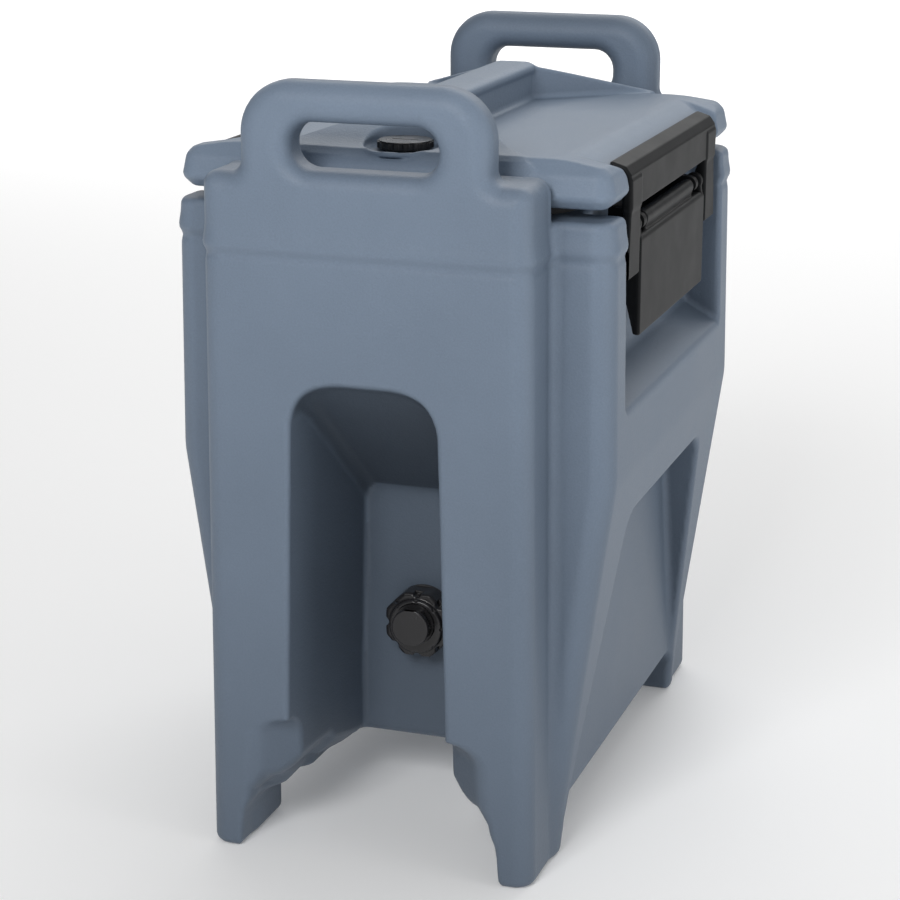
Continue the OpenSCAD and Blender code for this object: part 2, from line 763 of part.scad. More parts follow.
body_shell();
body_foam();
foam_port_plug();
lid_shell();
lid_foam();
lid_port_plug();
lid_gasket();
vent_tube();
vent_cap();
vent_seal();
latch_bracket();  // right_latch_bracket
mirror([1, 0, 0]) latch_bracket();  // left_latch_bracket
bracket_screws(1);  // right_bracket_screws
bracket_screws(-1);  // left_bracket_screws
lever_pin();  // right_lever_pin
mirror([1, 0, 0]) lever_pin();  // left_lever_pin
latch_lever();  // right_latch_lever
mirror([1, 0, 0]) latch_lever();  // left_latch_lever
bail_pins();  // right_bail_pins
mirror([1, 0, 0]) bail_pins();  // left_bail_pins
latch_bail();  // right_latch_bail
mirror([1, 0, 0]) latch_bail();  // left_latch_bail
tap_shank();
tap_collar();
tap_knob();
tap_stem_ring();
tap_outer_washer();
tap_inner_washer();
tap_inner_nut();
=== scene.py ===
import math

import bpy
import numpy as np
from mathutils import Euler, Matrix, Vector


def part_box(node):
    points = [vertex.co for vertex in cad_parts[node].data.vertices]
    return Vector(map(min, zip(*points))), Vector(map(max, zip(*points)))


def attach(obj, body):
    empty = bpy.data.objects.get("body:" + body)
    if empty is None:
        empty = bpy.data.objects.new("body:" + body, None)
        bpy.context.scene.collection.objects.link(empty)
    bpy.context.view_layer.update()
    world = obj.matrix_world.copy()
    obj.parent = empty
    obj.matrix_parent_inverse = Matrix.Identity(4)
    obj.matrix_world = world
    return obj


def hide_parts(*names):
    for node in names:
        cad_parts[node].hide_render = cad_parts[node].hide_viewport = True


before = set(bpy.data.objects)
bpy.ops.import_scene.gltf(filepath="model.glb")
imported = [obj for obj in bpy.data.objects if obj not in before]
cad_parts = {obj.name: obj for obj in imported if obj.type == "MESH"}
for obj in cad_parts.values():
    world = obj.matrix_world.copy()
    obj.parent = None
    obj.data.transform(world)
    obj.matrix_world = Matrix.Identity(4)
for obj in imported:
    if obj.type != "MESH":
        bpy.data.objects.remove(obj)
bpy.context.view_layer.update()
MM = 1000.0


# ---------------------------------------------------------------- camera and light
def box_mm(node):
    lo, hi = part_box(node)
    return np.array(lo) * MM, np.array(hi) * MM


body_lo, body_hi = box_mm("body_shell")
lid_lo, lid_hi = box_mm("lid_shell")

# The camera's heading and tilt in degrees, its lens and sensor in mm, and its place in metres
YAW, PITCH, LENS, SENSOR = 19.05, 16.43, 93.0, 36.0
EYE = Vector((0.4577, -1.3664, 0.6301))
# Strength of the sky towards -X and towards +X
SKY_LEFT, SKY_RIGHT = 0.05, 0.52
cam_data = bpy.data.cameras.new("camera")
cam_data.lens = LENS
cam_data.sensor_width = SENSOR
cam_data.clip_end = 50.0
camera = bpy.data.objects.new("camera", cam_data)
camera.location = EYE
camera.rotation_euler = Euler((math.radians(90 - PITCH), 0.0, math.radians(YAW)))
bpy.context.scene.collection.objects.link(camera)
bpy.context.scene.camera = camera

scene = bpy.context.scene
scene.view_settings.view_transform = "Standard"
scene.view_settings.look = "None"
world = bpy.data.worlds.new("studio")
scene.world = world
world.use_nodes = True
world.node_tree.nodes["Background"].inputs["Color"].default_value = (1.0, 1.0, 1.0, 1.0)
sky = world.node_tree
direction = sky.nodes.new("ShaderNodeTexCoord")
split = sky.nodes.new("ShaderNodeSeparateXYZ")
sky.links.new(direction.outputs["Generated"], split.inputs["Vector"])
level = sky.nodes.new("ShaderNodeMapRange")
level.inputs["From Min"].default_value = -1.0
level.inputs["From Max"].default_value = 1.0
level.inputs["To Min"].default_value = SKY_LEFT
level.inputs["To Max"].default_value = SKY_RIGHT
sky.links.new(split.outputs["X"], level.inputs["Value"])
sky.links.new(level.outputs["Result"], sky.nodes["Background"].inputs["Strength"])


def area_light(name, place, target, size, power):
    """A white rectangular lamp; place and target in metres, power in watts."""
    data = bpy.data.lights.new(name, "AREA")
    data.shape = "RECTANGLE"
    data.size, data.size_y = size
    data.energy = power
    obj = bpy.data.objects.new(name, data)
    obj.location = place
    aim = Vector(target) - Vector(place)
    obj.rotation_euler = aim.to_track_quat("-Z", "Y").to_euler()
    scene.collection.objects.link(obj)


area_light("key_light", (-0.05, -1.9, 1.45), (0, 0, 0.33), (0.8, 0.8), 24)
area_light("right_light", (2.2, -0.6, 0.5), (0, 0, 0.25), (0.8, 0.8), 7)
area_light("top_light", (0.1, 1.2, 2.0), (0, 0, 0.35), (1.2, 0.8), 8)
area_light("backdrop_light", (-1.6, 4.6, 2.6), (-1.6, 4.6, 0), (8.0, 4.0), 220)


# ---------------------------------------------------------------- materials
def clean_material(name):
    mat = bpy.data.materials.new(name)
    mat.use_nodes = True
    nt = mat.node_tree
    nt.nodes.clear()
    out = nt.nodes.new("ShaderNodeOutputMaterial")
    bsdf = nt.nodes.new("ShaderNodeBsdfPrincipled")
    nt.links.new(bsdf.outputs["BSDF"], out.inputs["Surface"])
    return mat, nt, bsdf


def coords(nt):
    return nt.nodes.new("ShaderNodeTexCoord").outputs["Object"]


def noise(nt, vec, scale, detail=2.0, rough=0.5, distortion=0.0):
    n = nt.nodes.new("ShaderNodeTexNoise")
    n.inputs["Scale"].default_value = scale
    n.inputs["Detail"].default_value = detail
    n.inputs["Roughness"].default_value = rough
    n.inputs["Distortion"].default_value = distortion
    nt.links.new(vec, n.inputs["Vector"])
    return n.outputs["Fac"]


def ramp(nt, fac, stops):
    r = nt.nodes.new("ShaderNodeValToRGB")
    while len(r.color_ramp.elements) < len(stops):
        r.color_ramp.elements.new(0.5)
    for e, (pos, col) in zip(r.color_ramp.elements, stops):
        e.position = pos
        e.color = (*col, 1.0)
    nt.links.new(fac, r.inputs["Fac"])
    return r.outputs["Color"]


def remap(nt, fac, a, b, c, d):
    m = nt.nodes.new("ShaderNodeMapRange")
    m.inputs["From Min"].default_value = a
    m.inputs["From Max"].default_value = b
    m.inputs["To Min"].default_value = c
    m.inputs["To Max"].default_value = d
    nt.links.new(fac, m.inputs["Value"])
    return m.outputs["Result"]


def mix_color(nt, fac, a, b):
    """From colour a to colour b; inputs 6 and 7 and output 2 are the Mix node's colour sockets."""
    m = nt.nodes.new("ShaderNodeMix")
    m.data_type = "RGBA"
    if isinstance(fac, float):
        m.inputs["Factor"].default_value = fac
    else:
        nt.links.new(fac, m.inputs["Factor"])
    for socket, value in ((m.inputs[6], a), (m.inputs[7], b)):
        if isinstance(value, tuple):
            socket.default_value = (*value, 1.0)
        else:
            nt.links.new(value, socket)
    return m.outputs[2]


def bump(nt, height, strength, distance, normal=None):
    b = nt.nodes.new("ShaderNodeBump")
    b.inputs["Strength"].default_value = strength
    b.inputs["Distance"].default_value = distance
    nt.links.new(height, b.inputs["Height"])
    if normal is not None:
        nt.links.new(normal, b.inputs["Normal"])
    return b.outputs["Normal"]


def attribute(nt, name):
    a = nt.nodes.new("ShaderNodeAttribute")
    a.attribute_name = name
    return a.outputs["Fac"]


def worn_and_highlit_edges(nt, vec, scale, least, most):
    """How much paler the sharp edges are, in patches of the given noise scale: partly wear, partly painted
    highlight.
    """
    wear_and_highlight = nt.nodes.new("ShaderNodeMath")
    wear_and_highlight.operation = "MULTIPLY"
    nt.links.new(attribute(nt, "edge"), wear_and_highlight.inputs[0])
    patches = remap(nt, noise(nt, vec, scale, 4.0, 0.6), 0.35, 0.7, least, most)
    nt.links.new(patches, wear_and_highlight.inputs[1])
    return wear_and_highlight.outputs[0]


def scaled(color, k):
    return tuple(c * k for c in color)


HOLLOW_SHADE = 0.32  # how dark the plastic gets under the painted shade, where its attribute is 1


def moulded_plastic(name, base, rough=0.46):
    """Rotomoulded polyethylene: fine pebbled skin, slow waviness, faint colour drift, edges paler from wear
    and painted highlight, and painted shade.
    """
    mat, nt, bsdf = clean_material(name)
    vec = coords(nt)
    drift = noise(nt, vec, 9.0, 3.0, 0.55)
    fine = noise(nt, vec, 900.0, 3.0, 0.6)
    pebble = noise(nt, vec, 420.0, 2.0, 0.55, 0.3)
    wave = noise(nt, vec, 22.0, 2.0, 0.5)
    light = scaled(base, 1.06)
    col = ramp(nt, drift, [(0.3, scaled(base, 0.93)), (0.7, light)])
    speck = remap(nt, fine, 0.35, 0.65, 0.0, 1.0)
    col = mix_color(nt, 0.26, col, ramp(nt, speck, [(0.0, scaled(base, 0.8)), (1.0, light)]))
    wear_and_highlight_colour = tuple(c * 1.25 + 0.02 for c in base)
    # paler edges: partly wear, partly painted highlight
    col = mix_color(nt, worn_and_highlit_edges(nt, vec, 60.0, 0.12, 0.5), col, wear_and_highlight_colour)
    # painted shade: darker where the shade attribute is set
    col = mix_color(nt, attribute(nt, "hollow"), col, scaled(base, HOLLOW_SHADE))
    nt.links.new(col, bsdf.inputs["Base Color"])
    nt.links.new(remap(nt, drift, 0.25, 0.75, rough - 0.04, rough + 0.06), bsdf.inputs["Roughness"])
    n1 = bump(nt, wave, 0.25, 0.0012)
    n2 = bump(nt, pebble, 0.34, 0.0005, n1)
    n3 = bump(nt, fine, 0.40, 0.0004, n2)
    nt.links.new(n3, bsdf.inputs["Normal"])
    bsdf.inputs["Specular IOR Level"].default_value = 0.25
    return mat


def black_plastic(name, base, rough, grain, shine):
    """Injection-moulded nylon: fine spark texture, faint scuffs, and edges paler from wear and painted
    highlight.
    """
    mat, nt, bsdf = clean_material(name)
    vec = coords(nt)
    fine = noise(nt, vec, 1300.0, 2.0, 0.6)
    blotch = noise(nt, vec, 45.0, 3.0, 0.6)
    col = ramp(nt, blotch, [(0.3, scaled(base, 0.92)), (0.75, scaled(base, 1.12))])
    # paler edges: partly wear, partly painted highlight
    col = mix_color(nt, worn_and_highlit_edges(nt, vec, 120.0, 0.15, 0.7), col, scaled(base, 2.6))
    nt.links.new(col, bsdf.inputs["Base Color"])
    nt.links.new(remap(nt, blotch, 0.3, 0.7, rough - 0.02, rough + 0.03), bsdf.inputs["Roughness"])
    n1 = bump(nt, blotch, 0.02, 0.0002)
    nt.links.new(bump(nt, fine, 0.16 * grain, 0.00012, n1), bsdf.inputs["Normal"])
    bsdf.inputs["Specular IOR Level"].default_value = shine
    return mat


def soft_rubber(name, base):
    """Matt seal rubber with a little dust on it."""
    mat, nt, bsdf = clean_material(name)
    vec = coords(nt)
    dust = noise(nt, vec, 260.0, 3.0, 0.65)
    nt.links.new(ramp(nt, dust, [(0.3, base), (0.8, scaled(base, 1.9))]), bsdf.inputs["Base Color"])
    nt.links.new(remap(nt, dust, 0.3, 0.7, 0.66, 0.86), bsdf.inputs["Roughness"])
    nt.links.new(bump(nt, dust, 0.2, 0.0002), bsdf.inputs["Normal"])
    return mat


def machined_steel(name, base):
    """Metal with fine drawn lines along X."""
    mat, nt, bsdf = clean_material(name)
    vec = coords(nt)
    stretch = nt.nodes.new("ShaderNodeMapping")
    stretch.inputs["Scale"].default_value = (1.0, 30.0, 30.0)
    nt.links.new(vec, stretch.inputs["Vector"])
    lines = noise(nt, stretch.outputs["Vector"], 60.0, 3.0, 0.6)
    nt.links.new(ramp(nt, lines, [(0.3, scaled(base, 0.8)), (0.7, base)]), bsdf.inputs["Base Color"])
    bsdf.inputs["Metallic"].default_value = 1.0
    nt.links.new(remap(nt, lines, 0.3, 0.7, 0.24, 0.38), bsdf.inputs["Roughness"])
    nt.links.new(bump(nt, lines, 0.1, 0.0001), bsdf.inputs["Normal"])
    return mat


def rigid_foam(name, base):
    """Yellowish closed-cell foam with small round cells."""
    mat, nt, bsdf = clean_material(name)
    vec = coords(nt)
    cell = nt.nodes.new("ShaderNodeTexVoronoi")
    cell.inputs["Scale"].default_value = 900.0
    nt.links.new(vec, cell.inputs["Vector"])
    tone = noise(nt, vec, 30.0, 3.0, 0.6)
    nt.links.new(ramp(nt, tone, [(0.3, scaled(base, 0.86)), (0.7, base)]), bsdf.inputs["Base Color"])
    bsdf.inputs["Roughness"].default_value = 0.9
    nt.links.new(bump(nt, cell.outputs["Distance"], 0.4, 0.0005), bsdf.inputs["Normal"])
    return mat


PE_BLUE = (0.188, 0.241, 0.317)
mat_body = moulded_plastic("moulded_polyethylene", PE_BLUE)
mat_lid = moulded_plastic("moulded_polyethylene_lid", scaled(PE_BLUE, 1.02), 0.45)
mat_black = black_plastic("black_nylon", (0.011, 0.0118, 0.013), rough=0.46, grain=1.0, shine=0.10)
mat_tap = black_plastic("black_tap_plastic", (0.017, 0.0165, 0.018), rough=0.25, grain=0.6, shine=0.45)
mat_rubber = soft_rubber("seal_rubber", (0.03, 0.03, 0.032))
mat_steel = machined_steel("blackened_pin_steel", (0.045, 0.045, 0.048))
mat_foam = rigid_foam("rigid_foam", (0.82, 0.72, 0.46))


# ---------------------------------------------------------------- distance fields, in mm
def blend_union(a, b, r):
    """Union with a concave fillet of radius r."""
    return np.maximum(r, np.minimum(a, b)) - np.hypot(np.maximum(r - a, 0), np.maximum(r - b, 0))


def round_cut(a, b, r):
    """Intersection with a convex fillet of radius r; cut a void v away with b = -v."""
    return np.minimum(-r, np.maximum(a, b)) + np.hypot(np.maximum(a + r, 0), np.maximum(b + r, 0))


def soft_max(a, b, k):
    """Intersection with the edge eased over a width of k."""
    h = np.maximum(k - np.abs(a - b), 0) / k
    return np.maximum(a, b) + h * h * k / 4


def round_rect(u, v, hu, hv, r):
    """Distance to a rectangle of half sizes hu and hv with corners of radius r."""
    qu, qv = np.abs(u) - (hu - r), np.abs(v) - (hv - r)
    return np.hypot(np.maximum(qu, 0), np.maximum(qv, 0)) + np.minimum(np.maximum(qu, qv), 0) - r


def polygon(u, v, pts):
    """Exact distance to a polygon's outline, negative inside."""
    pts = [np.array(p, float) for p in pts]
    best = np.full(np.shape(u), 1e12)
    sign = np.ones(np.shape(u))
    for i in range(len(pts)):
        a, b = pts[i], pts[i - 1]
        e = b - a
        wu, wv = u - a[0], v - a[1]
        t = np.clip((wu * e[0] + wv * e[1]) / (e @ e), 0, 1)
        du, dv = wu - e[0] * t, wv - e[1] * t
        best = np.minimum(best, du * du + dv * dv)
        c1, c2, c3 = v >= a[1], v < b[1], e[0] * wv > e[1] * wu
        flip = (c1 & c2 & c3) | (~c1 & ~c2 & ~c3)
        sign = np.where(flip, -sign, sign)
    return sign * np.sqrt(best)


def inset(pts, r):
    """The same anticlockwise outline, moved inwards by r."""
    pts = [np.array(p, float) for p in pts]
    out = []
    for i, p in enumerate(pts):
        a, b = p - pts[i - 1], pts[(i + 1) % len(pts)] - p
        na, nb = (np.array([-e[1], e[0]]) / np.hypot(*e) for e in (a, b))
        out.append(p + (na + nb) * r / (1 + na @ nb))
    return out


def rounded(u, v, pts, r):
    """Distance to an anticlockwise outline with its outer corners rounded to r."""
    return polygon(u, v, inset(pts, r)) - r


def surface_net(f, lo, hi, step):
    """Quads on the zero surface of f in the box, one point per crossed cell."""
    axes = [np.arange(lo[k] - 1.37 * step, hi[k] + 2.2 * step, step) for k in range(3)]
    nx, ny, nz = (len(a) for a in axes)
    v = np.empty((nx, ny, nz), np.float32)
    yy, zz = np.meshgrid(axes[1], axes[2], indexing="ij")
    for i in range(0, nx, 16):
        xs = axes[0][i : i + 16]
        shape = (len(xs), ny, nz)
        v[i : i + 16] = f(
            np.broadcast_to(xs[:, None, None], shape),
            np.broadcast_to(yy, shape),
            np.broadcast_to(zz, shape),
        )
    neg = v < 0
    count = np.zeros((nx - 1, ny - 1, nz - 1), np.int8)
    corners = [(a, b, c) for a in (0, 1) for b in (0, 1) for c in (0, 1)]
    for a, b, c in corners:
        count += neg[a : nx - 1 + a, b : ny - 1 + b, c : nz - 1 + c]
    ci, cj, ck = np.nonzero((count > 0) & (count < 8))
    index = np.full(count.shape, -1, np.int64)
    index[ci, cj, ck] = np.arange(len(ci))
    total = np.zeros((len(ci), 3))
    weight = np.zeros(len(ci))
    for p in corners:
        for k in range(3):
            if p[k]:
                continue
            q = list(p)
            q[k] = 1
            va = v[ci + p[0], cj + p[1], ck + p[2]].astype(float)
            vb = v[ci + q[0], cj + q[1], ck + q[2]].astype(float)
            cross = (va < 0) != (vb < 0)
            t = np.where(cross, va / np.where(cross, va - vb, 1), 0)
            pos = np.stack([np.full(len(ci), float(c)) for c in p], 1)
            pos[:, k] += t
            total += np.where(cross[:, None], pos, 0)
            weight += cross
    pts = (total / weight[:, None] + np.stack([ci, cj, ck], 1)) * step
    pts += np.array([a[0] for a in axes])
    quads = []
    for k in range(3):
        lo_s = [slice(1, -1)] * 3
        hi_s = [slice(1, -1)] * 3
        lo_s[k] = slice(0, -1)
        hi_s[k] = slice(1, None)
        a, b = neg[tuple(lo_s)], neg[tuple(hi_s)]
        i, j, l = np.nonzero(a != b)
        base = np.stack([i, j, l], 1)
        off = np.ones(3, int)
        off[k] = 0
        base += off
        k1, k2 = (k + 1) % 3, (k + 2) % 3
        ring = []
        for d1, d2 in ((1, 1), (0, 1), (0, 0), (1, 0)):
            c = base.copy()
            c[:, k1] -= d1
            c[:, k2] -= d2
            ring.append(index[c[:, 0], c[:, 1], c[:, 2]])
        ring = np.stack(ring, 1)
        out = a[i, j, l]
        ring[~out] = ring[~out][:, ::-1]
        quads.append(ring)
    quads = np.concatenate(quads)
    return pts, quads[(quads >= 0).all(1)]


def gradient(f, p, eps):
    g = np.empty_like(p)
    for k in range(3):
        d = np.zeros(3)
        d[k] = eps
        a, b = p + d, p - d
        g[:, k] = (f(a[:, 0], a[:, 1], a[:, 2]) - f(b[:, 0], b[:, 1], b[:, 2])) / (2 * eps)
    return g


# Half spans of the gradient for settling and for normals, in mm, and the least squared slope it divides by
SETTLE_EPS, NORMAL_EPS, FLATTEST = 0.06, 0.12, 0.05
# Distance across an edge at which its sharpness is measured
EDGE_REACH = 1.6
# Distances from the surface at which the room in front of it is measured for the painted shade, and the part
# that stays unshaded
HOLLOW_REACHES, OPEN_PART = (25.0, 50.0, 80.0), 0.25


def settle(f, p, limit, rounds=3):
    """Moves points onto the zero surface along its gradient."""
    for _ in range(rounds):
        d = f(p[:, 0], p[:, 1], p[:, 2])
        g = gradient(f, p, SETTLE_EPS)
        gg = np.maximum((g * g).sum(1), FLATTEST)
        s = np.clip(d / gg, -limit, limit)
        p = p - g * s[:, None]
    return p


def field_mesh(name, f, lo, hi, step, body, material, replaces, target, shade=0.0, tint=None):
    """A closed smooth mesh of the solid f < 0, at most target triangles, riding on a CAD body.

    The attribute "edge" is 1 on sharp outer edges. The second attribute is the painted shade: shade is
    its most from nearby walls, and the extra shade function may add to it.
    """
    pts, quads = surface_net(f, lo, hi, step)
    pts = settle(f, pts, step * 0.6)
    mesh = bpy.data.meshes.new(name)
    mesh.from_pydata((pts / MM).tolist(), [], quads.tolist())
    obj = bpy.data.objects.new(name, mesh)
    scene.collection.objects.link(obj)
    if len(quads) * 2 > target:
        mod = obj.modifiers.new("thin", "DECIMATE")
        mod.ratio = target / (len(quads) * 2)
        dg = bpy.context.evaluated_depsgraph_get()
        thin = bpy.data.meshes.new_from_object(obj.evaluated_get(dg))
        obj.modifiers.clear()
        obj.data = thin
        bpy.data.meshes.remove(mesh)
        mesh = thin
        mesh.name = name
        p = np.empty(len(mesh.vertices) * 3)
        mesh.vertices.foreach_get("co", p)
        p = settle(f, p.reshape(-1, 3) * MM, step * 0.5, 2)
        mesh.vertices.foreach_set("co", (p / MM).ravel())
        mesh.update()
        pts = p
    g = gradient(f, pts, NORMAL_EPS)
    g /= np.maximum(np.linalg.norm(g, axis=1), 1e-6)[:, None]
    inner = f(*(pts - g * EDGE_REACH).T)
    outer = f(*(pts + g * EDGE_REACH).T)
    edge = np.clip((inner + outer) / EDGE_REACH * 1.6, 0, 1)
    attr = mesh.attributes.new("edge", "FLOAT", "POINT")
    attr.data.foreach_set("value", edge.astype(np.float32))
    # painted shade: darker where walls stand near in front of the surface
    hollow = np.zeros(len(pts))
    if shade:
        for reach in HOLLOW_REACHES:
            hollow = np.maximum(hollow, 1 - f(*(pts + g * reach).T) / reach)
        hollow = np.clip((hollow - OPEN_PART) / (1 - OPEN_PART), 0, 1) * shade
    if tint:
        hollow = tint(pts, g, hollow)
    attr = mesh.attributes.new("hollow", "FLOAT", "POINT")
    attr.data.foreach_set("value", hollow.astype(np.float32))
    mesh.shade_smooth()
    mesh.normals_split_custom_set_from_vertices(g.tolist())
    mesh.materials.append(material)
    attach(obj, body)
    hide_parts(*replaces)
    print(name, len(mesh.vertices), len(mesh.polygons))


# ---------------------------------------------------------------- body
# HW, HL and HH in a name are half sizes in X, Y and Z; Y and Z are places, R is a radius. All are in mm.
BODY_STEP, BODY_FOAM_STEP = 2.2, 6.0
SHELL_TRIANGLES, FOAM_TRIANGLES, SMALL_TRIANGLES = 190000, 60000, 120000
SKIN = 4.5
# Most painted shade from nearby walls, on the body and on the lid
BODY_SHADE, LID_SHADE = 0.42, 0.25

# Middle block: widest at the knee, narrower at the rim and at the floor
HW, RIM_HW, FOOT, KNEE, BLOCK_HL = body_hi[0], 132.4, 101.8, 236.0, 152.0
RIM, TOP = 388.0, body_hi[2]
LEAN = (HW - FOOT) / KNEE
DRAFT = (HW - RIM_HW) / (RIM - KNEE)
# End pilasters, which end in the handles; the front handle is a little lower
PIL_Y, PIL_HW, SHOULDER = 193.3, 97.2, 412.0
HANDLE_HW, HANDLE_DEPTH, HANDLE_R, FRONT_DROP = 74.0, 30.0, 30.0, 3.0
RIM_HL = 152.5
SLOT_HW, SLOT_HH, SLOT_R, SLOT_Y, SLOT_Z, SLOT_DROP = 43.5, 14.5, 13.0, 150.0, 429.5, 0.43
# Raised belt, with its widths above and below the crest, and the groove under it
BELT_Z, BELT_OUT, BELT_ABOVE, BELT_BELOW = 371.0, 1.4, 6.5, 2.6
GROOVE_IN, GROOVE_DOWN, GROOVE_W = 0.8, 5.8, 2.4
# Front recess: an arch that narrows inwards under a slanted ceiling
RECESS_Y, RECESS_RUN, RECESS_TAPER = -88.0, 105.0, 7.5
ARCH_Z, ARCH_HW, ARCH_R, ARCH_FOOT, ARCH_FOOT_RUN = 298.0, 44.5, 32.0, 4.5, 178.0
CEILING_SLOPE, CEILING_LENGTH = 0.886, 1.336
# Wedge that widens the recess near the floor
FLARE_Z, FLARE_HW, FLARE_LEAN, FLARE_LEAN_Z = 86.0, 73.0, 0.07, 50.0
FLARE_NX, FLARE_NY = 0.6, 0.8
# Gaps between the legs
LEG_X, LEG_Y, LEG_GAP_Z = 79.0, 133.0, 30.0
MOUTH_Y, SILL_Y, SILL_RISE_Y, SILL_RISE_RUN, SILL_RISE = -168.0, -66.0, -96.0, 56.0, 0.25
# Recess in each side, longer at its foot than at its top
PANEL_X, PANEL_TOP_Z, PANEL_TOP_HL, PANEL_FOOT_Z, PANEL_FOOT_HL = 103.5, 203.0, 91.0, 25.0, 133.0
PANEL_SLOPE = (PANEL_FOOT_HL - PANEL_TOP_HL) / (PANEL_TOP_Z - PANEL_FOOT_Z)
# Latch pocket with a floor that falls outwards
POCKET_X, POCKET_HL, POCKET_Z, POCKET_FALL, POCKET_RUN, POCKET_COS = 107.0, 120.0, 288.5, 15.0, 27.0, 0.874
TAP_Z, TAP_HOLE_R, TAP_HOLE_Y0, TAP_HOLE_Y1 = 124.0, 12.9, -98.0, -40.0
# Tank, narrower towards its floor
TANK_HW, TANK_HL, TANK_R, TANK_Y, TANK_TAPER, TANK_TAPER_RUN = 92.0, 121.5, 26.0, 3.5, 16.0, 149.0
TANK_PROFILE = [(-50, 104), (125, 110), (125, 344), (118, 352), (118, 420),
                (-118, 420), (-118, 304), (-50, 240)]
GAP_PROFILE = [(-10, -20), (79.5, -20), (79, 0), (76, 16), (56, 44), (47.5, 54), (-10, 54)]
MOUTH_PROFILE = [(-10, -20), (79.5, -20), (79, 0), (77, 22), (73, 37), (66, 43.5), (-10, 43.5)]
SILL_PROFILE = [(-10, 20), (59, 20), (58, 30), (46, 40), (-10, 40)]


def tank_void(x, y, z):
    side = polygon(y, z, TANK_PROFILE)
    hw = TANK_HW - TANK_TAPER * np.clip((KNEE - z) / TANK_TAPER_RUN, 0, 1)
    d = round_cut(side, np.abs(x) - hw, 14)
    return round_cut(d, round_rect(x, y - TANK_Y, TANK_HW, TANK_HL, TANK_R), 1)


def recess_void(x, y, z):
    ax = np.abs(x)
    depth = np.clip((y + PIL_Y) / RECESS_RUN, 0, 1)
    foot = np.clip((ARCH_Z - ARCH_R - z) / ARCH_FOOT_RUN, 0, 1)
    hw = ARCH_HW + ARCH_FOOT * foot - RECESS_TAPER * depth
    qx, qz = ax - (hw - ARCH_R), z - (ARCH_Z - ARCH_R)
    arch = np.where((qx > 0) & (qz > 0), np.hypot(qx, qz) - ARCH_R, np.maximum(ax - hw, z - ARCH_Z))
    ceiling = (z - ARCH_Z + CEILING_SLOPE * (y + PIL_Y)) / CEILING_LENGTH
    void = round_cut(round_cut(arch, ceiling, 9), y - RECESS_Y, 3.5)
    flare_hw = FLARE_LEAN * (FLARE_LEAN_Z - z)
    wedge = FLARE_NX * (ax - FLARE_HW - flare_hw) + FLARE_NY * (y + PIL_Y)
    void = blend_union(void, round_cut(wedge, z - FLARE_Z, 12), 2)
    gap = round_cut(polygon(ax, z, GAP_PROFILE), y + LEG_Y, 7)
    void = blend_union(void, gap, 7)
    mouth = round_cut(polygon(ax, z, MOUTH_PROFILE), y - MOUTH_Y, 12)
    void = blend_union(void, mouth, 9)
    rise = SILL_RISE * np.clip(SILL_RISE_Y - y, 0, SILL_RISE_RUN)
    sill = round_cut(polygon(ax, z - rise, SILL_PROFILE), y - SILL_Y, 2)
    return blend_union(void, sill, 6)


def body_field(x, y, z):
    ax, ay = np.abs(x), np.abs(y)
    c = 1 / math.hypot(1, LEAN)
    side = soft_max(ax - HW + (z - KNEE) * DRAFT, (ax - HW + (KNEE - z) * LEAN) * c, 0.8)
    block = round_cut(side, ay - BLOCK_HL, 14)
    pil = round_cut(ax - (FOOT - (FOOT - PIL_HW) * z / SHOULDER), z - SHOULDER, 8)
    drop = np.where(y < 0, FRONT_DROP, 0.0)
    loop = round_rect(x, z - RIM, HANDLE_HW, TOP - RIM - drop, HANDLE_R)
    handle = round_cut(loop, PIL_Y - HANDLE_DEPTH - ay, 13)
    front = round_cut(blend_union(pil, handle, 7), ay - PIL_Y, 12)
    d = blend_union(block, front, 7)
    # level rim between the handles
    d = round_cut(d, -np.maximum(ay - RIM_HL, RIM - z), 4.5)
    belt_w = np.where(z > BELT_Z, BELT_ABOVE, BELT_BELOW)
    belt = BELT_OUT * np.exp(-(((z - BELT_Z) / belt_w) ** 2))
    groove = GROOVE_IN * np.exp(-(((z - BELT_Z + GROOVE_DOWN) / GROOVE_W) ** 2))
    d = d - belt + groove
    # hand slots
    slot = round_rect(x, z - SLOT_Z + drop * SLOT_DROP, SLOT_HW, SLOT_HH - drop * SLOT_DROP, SLOT_R)
    d = round_cut(d, -np.maximum(slot, SLOT_Y - ay), 11)
    d = round_cut(d, -recess_void(x, y, z), 3.2)
    # lower side recesses
    panel = (ay - PANEL_TOP_HL - (PANEL_TOP_Z - z) * PANEL_SLOPE) / math.hypot(1, PANEL_SLOPE)
    panel = round_cut(panel, z - PANEL_TOP_Z, 14)
    d = round_cut(d, -round_cut(panel, PANEL_X - ax, 5), 3.5)
    # latch pockets
    floor = (POCKET_Z - (ax - POCKET_X) * POCKET_FALL / POCKET_RUN - z) * POCKET_COS
    pocket = round_cut(round_cut(ay - POCKET_HL, POCKET_X - ax, 6), floor, 4)
    d = round_cut(d, -pocket, 3)
    # gaps between the legs
    d = round_cut(d, -round_cut(ay - LEG_Y, z - LEG_GAP_Z, 9), 4)
    d = round_cut(d, -round_cut(ax - LEG_X, z - LEG_GAP_Z, 9), 4)
    d = round_cut(d, -z, 5)
    # tank and tap hole
    d = round_cut(d, -tank_void(x, y, z), 3)
    tap = np.maximum(TAP_HOLE_Y0 - y, y - TAP_HOLE_Y1)
    tap = np.maximum(np.hypot(x, z - TAP_Z) - TAP_HOLE_R, tap)
    return np.maximum(d, -tap)


# Painted darkness in the recess: all its walls, extra where they face -X, its ceiling, its back; and
# of the whole body at the floor
WALL_DARK, FACING_LEFT_DARK, CEILING_DARK, BACK_DARK, FLOOR_DARK = 0.20, 0.42, 0.97, 0.50, 0.60
# Where it starts behind the front plane and inside the legs, and over what distances it fades in
SHADE_Y0, SHADE_Y1, SHADE_HW, SHADE_TOP, FADE_Y, FADE_X = -193.0, -80.0, 80.0, 300.0, 5.0, 3.0
CEILING_LOW_Z, BACK_NEAR_Y = 150.0, -110.0


